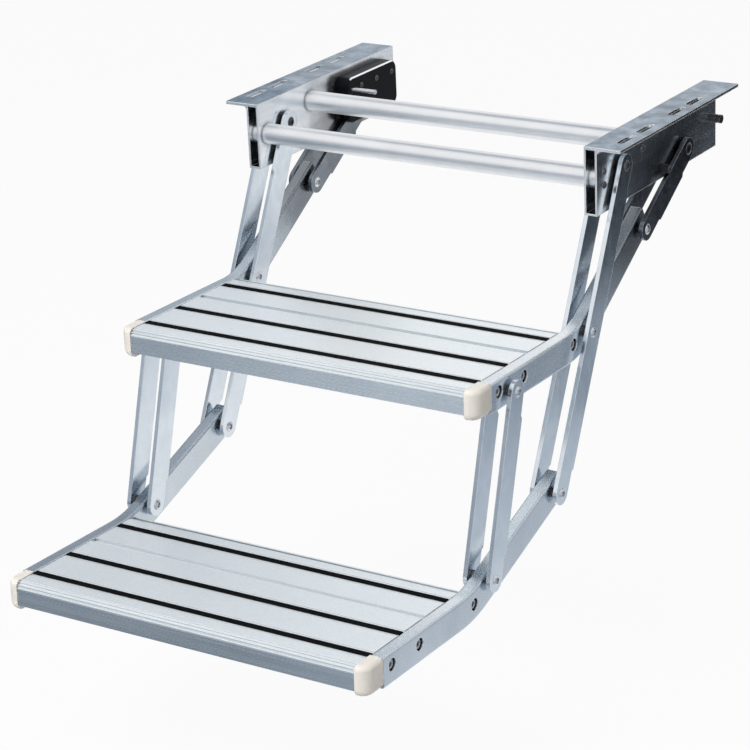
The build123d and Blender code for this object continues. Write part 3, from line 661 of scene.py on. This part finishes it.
def addFloor():
    half = studio["floorSize"] / 2
    across = np.linspace(-half, half, 5)
    x, y = np.meshgrid(across, across, indexing="xy")
    floor = gridSurface("floor", np.stack([x, y, np.full_like(x, studio["floorHeight"])], axis=-1))
    material = bpy.data.materials.new("paleFloor")
    material.use_nodes = True
    tree = material.node_tree
    tree.nodes.clear()
    matt = addNode(tree, "ShaderNodeBsdfDiffuse", {"Color": rgba([studio["floorGrey"]] * 3)})
    white = addNode(tree, "ShaderNodeEmission", {"Color": (1, 1, 1, 1), "Strength": 1.0})
    share = addNode(tree, "ShaderNodeMath", {1: studio["floorWhite"]}, operation="MULTIPLY")
    mix = tree.nodes.new("ShaderNodeMixShader")
    output = tree.nodes.new("ShaderNodeOutputMaterial")
    tree.links.new(backgroundMask(tree), share.inputs[0])
    tree.links.new(share.outputs[0], mix.inputs["Fac"])
    tree.links.new(matt.outputs[0], mix.inputs[1])
    tree.links.new(white.outputs[0], mix.inputs[2])
    tree.links.new(mix.outputs[0], output.inputs["Surface"])
    floor.data.materials.append(material)


def addWorld():
    world = bpy.data.worlds.new("studioWorld")
    bpy.context.scene.world = world
    world.use_nodes = True
    tree = world.node_tree
    tree.nodes.clear()
    dim = addNode(tree, "ShaderNodeBackground", {"Color": (1, 1, 1, 1), "Strength": studio["ambient"]})
    white = addNode(tree, "ShaderNodeBackground", {"Color": (1, 1, 1, 1), "Strength": 1.0})
    mix = tree.nodes.new("ShaderNodeMixShader")
    output = tree.nodes.new("ShaderNodeOutputWorld")
    tree.links.new(backgroundMask(tree), mix.inputs["Fac"])
    tree.links.new(dim.outputs[0], mix.inputs[1])
    tree.links.new(white.outputs[0], mix.inputs[2])
    tree.links.new(mix.outputs[0], output.inputs["Surface"])


def addSoftbox(name, look):
    data = bpy.data.lights.new(name, "AREA")
    data.shape = "SQUARE"
    data.size = look["size"]
    data.energy = look["power"]
    lamp = bpy.data.objects.new(name, data)
    away = np.array(look["place"], float) - np.array(studio["lampsAimAt"], float)
    away /= np.linalg.norm(away)
    side = np.cross((0.0, 0.0, 1.0), away)
    side /= np.linalg.norm(side)
    up = np.cross(away, side)
    lamp.matrix_world = turned(side, up, away, look["place"])
    lamp.visible_glossy = False
    bpy.context.scene.collection.objects.link(lamp)


# Grey cards round the set: only mirror rays see them, so the metal gets its darker bands.
# Each is a rectangle between two corners, and its shade runs from stop to stop along one axis.
cards = {
    "rightFloorCard": {
        "from": (0.3, -0.85, -0.655), "to": (3.2, 0.6, -0.655), "axis": "X",
        "stops": ((0.3, 0.9), (0.48, 0.74), (0.65, 0.5), (0.76, 0.36), (0.9, 0.4), (1.2, 0.7))},
    "rightBackFloorCard": {
        "from": (0.6, 0.6, -0.655), "to": (3.2, 3.7, -0.655), "axis": "Y",
        "stops": ((0.6, 0.3), (0.95, 0.27), (1.1, 0.45), (1.25, 0.85), (1.5, 1.0), (2.4, 0.9), (3.7, 0.5))},
    "dimPatchCard": {
        "from": (0.6, 1.78, -0.65), "to": (1.0, 2.7, -0.65), "axis": "Y",
        "stops": ((1.78, 0.3), (1.9, 0.05), (2.7, 0.04))},
    "rightFlag": {
        "from": (0.4, 0.03, -0.3), "to": (0.4, 0.68, 0.04), "axis": "Z",
        "stops": ((-0.3, 0.22), (-0.24, 0.05), (-0.1, 0.012), (0.04, 0.012))},
    "nearFloorCard": {
        "from": (-2.6, -0.85, -0.655), "to": (0.3, -0.3, -0.655), "axis": "X",
        "stops": ((-1.0, 0.5), (-0.3, 0.5), (0.2, 0.62))},
    "rightCard": {
        "from": (3.2, -0.85, -0.66), "to": (3.2, 3.7, 0.9), "axis": "Z",
        "stops": ((-0.66, 0.45), (0.9, 0.7))},
    "frontFloorCard": {
        "from": (-2.6, -2.7, -0.655), "to": (1.4, -1.2, -0.655), "axis": "X",
        "stops": ((-1.2, 0.26), (-0.96, 0.34), (-0.6, 0.6), (-0.39, 0.7), (-0.25, 0.5), (-0.05, 0.4))},
    "lowerFrontCard": {
        "from": (-2.6, -1.2, -0.655), "to": (1.4, -0.85, -0.655), "axis": "X",
        "stops": ((-1.0, 0.22), (-0.52, 0.17), (-0.21, 0.16), (-0.05, 0.28))},
    "backFloorCard": {
        "from": (-4.0, 1.4, -0.655), "to": (0.6, 3.6, -0.655), "axis": "X",
        "stops": ((-4.0, 0.7), (0.2, 0.6))},
    "backCard": {
        "from": (-5.0, 3.7, -0.66), "to": (0.9, 3.7, 2.6), "axis": "Z",
        "stops": ((-0.66, 0.7), (0.3, 0.9), (1.2, 1.0))},
    "rightBackCard": {
        "from": (0.9, 3.7, -0.66), "to": (3.2, 3.7, 0.9), "axis": "Z",
        "stops": ((-0.66, 0.7), (0.9, 1.0))},
    "leftCard": {
        "from": (-0.9, -0.2, -0.66), "to": (-0.9, 3.0, 1.1), "axis": "Z",
        "stops": ((-0.66, 0.75), (-0.3, 0.6), (0.03, 0.5), (0.2, 0.75), (0.3, 0.97), (1.1, 1.0))},
    "leftNearCard": {
        "from": (-0.42, -0.5, -0.34), "to": (-0.42, 0.22, 0.12), "axis": "Z",
        "stops": ((-0.34, 0.25), (-0.2, 0.25), (-0.1, 0.4), (0.12, 0.6))},
    "midFloorCard": {
        "from": (-0.9, 0.6, -0.655), "to": (0.2, 1.3, -0.655), "axis": "X",
        "stops": ((-0.9, 0.9), (-0.45, 0.55), (0.2, 0.45))},
    "ceilingCard": {
        "from": (-3.5, -0.15, 2.4), "to": (1.5, 1.6, 2.5), "axis": "X",
        "stops": ((-3.5, 0.42), (1.5, 0.35))},
    "frontCard": {
        "from": (-3.5, -3.4, -0.66), "to": (1.6, -3.4, 0.5), "axis": "X",
        "stops": ((-3.0, 0.5), (0.0, 0.3))},
}
cardTint = (0.8, 1.0, 1.25)


def addCard(name, card):
    # u runs along the first axis in which the two corners differ, v along the others together
    low, high = np.array(card["from"], float), np.array(card["to"], float)
    alongU = np.where(np.arange(3) == np.flatnonzero(low != high)[0], high - low, 0.0)
    alongV = high - low - alongU
    u, v = np.meshgrid(np.linspace(0, 1, 3), np.linspace(0, 1, 3), indexing="xy")
    piece = gridSurface(name, low + u[..., None] * alongU + v[..., None] * alongV)
    material = bpy.data.materials.new(name + "Shade")
    material.use_nodes = True
    tree = material.node_tree
    tree.nodes.clear()
    stops = card["stops"]
    coords = addNode(tree, "ShaderNodeTexCoord")
    apart = addNode(tree, "ShaderNodeSeparateXYZ")
    along = addNode(tree, "ShaderNodeMapRange", {"From Min": stops[0][0], "From Max": stops[-1][0]})
    ramp = addNode(tree, "ShaderNodeValToRGB")
    glow = addNode(tree, "ShaderNodeEmission", {"Strength": 1.0})
    output = tree.nodes.new("ShaderNodeOutputMaterial")
    spread = stops[-1][0] - stops[0][0]
    while len(ramp.color_ramp.elements) < len(stops):
        ramp.color_ramp.elements.new(0.5)
    for element, (place, shade) in zip(ramp.color_ramp.elements, stops):
        element.position = (place - stops[0][0]) / spread
        # the darker the shade, the bluer
        element.color = rgba([shade * (1 + (tint - 1) * (1 - shade)) for tint in cardTint])
    tree.links.new(coords.outputs["Object"], apart.inputs[0])
    tree.links.new(apart.outputs[card["axis"]], along.inputs["Value"])
    tree.links.new(along.outputs["Result"], ramp.inputs["Fac"])
    tree.links.new(ramp.outputs["Color"], glow.inputs["Color"])
    tree.links.new(glow.outputs[0], output.inputs["Surface"])
    piece.data.materials.append(material)
    piece.visible_camera = False
    piece.visible_diffuse = False
    piece.visible_shadow = False
    piece.visible_transmission = False


addFloor()
addWorld()
for name, card in cards.items():
    addCard(name, card)
for name, look in studio["lamps"].items():
    addSoftbox(name, look)
print("studio set:", len(cards), "cards and", len(studio["lamps"]), "lamps")
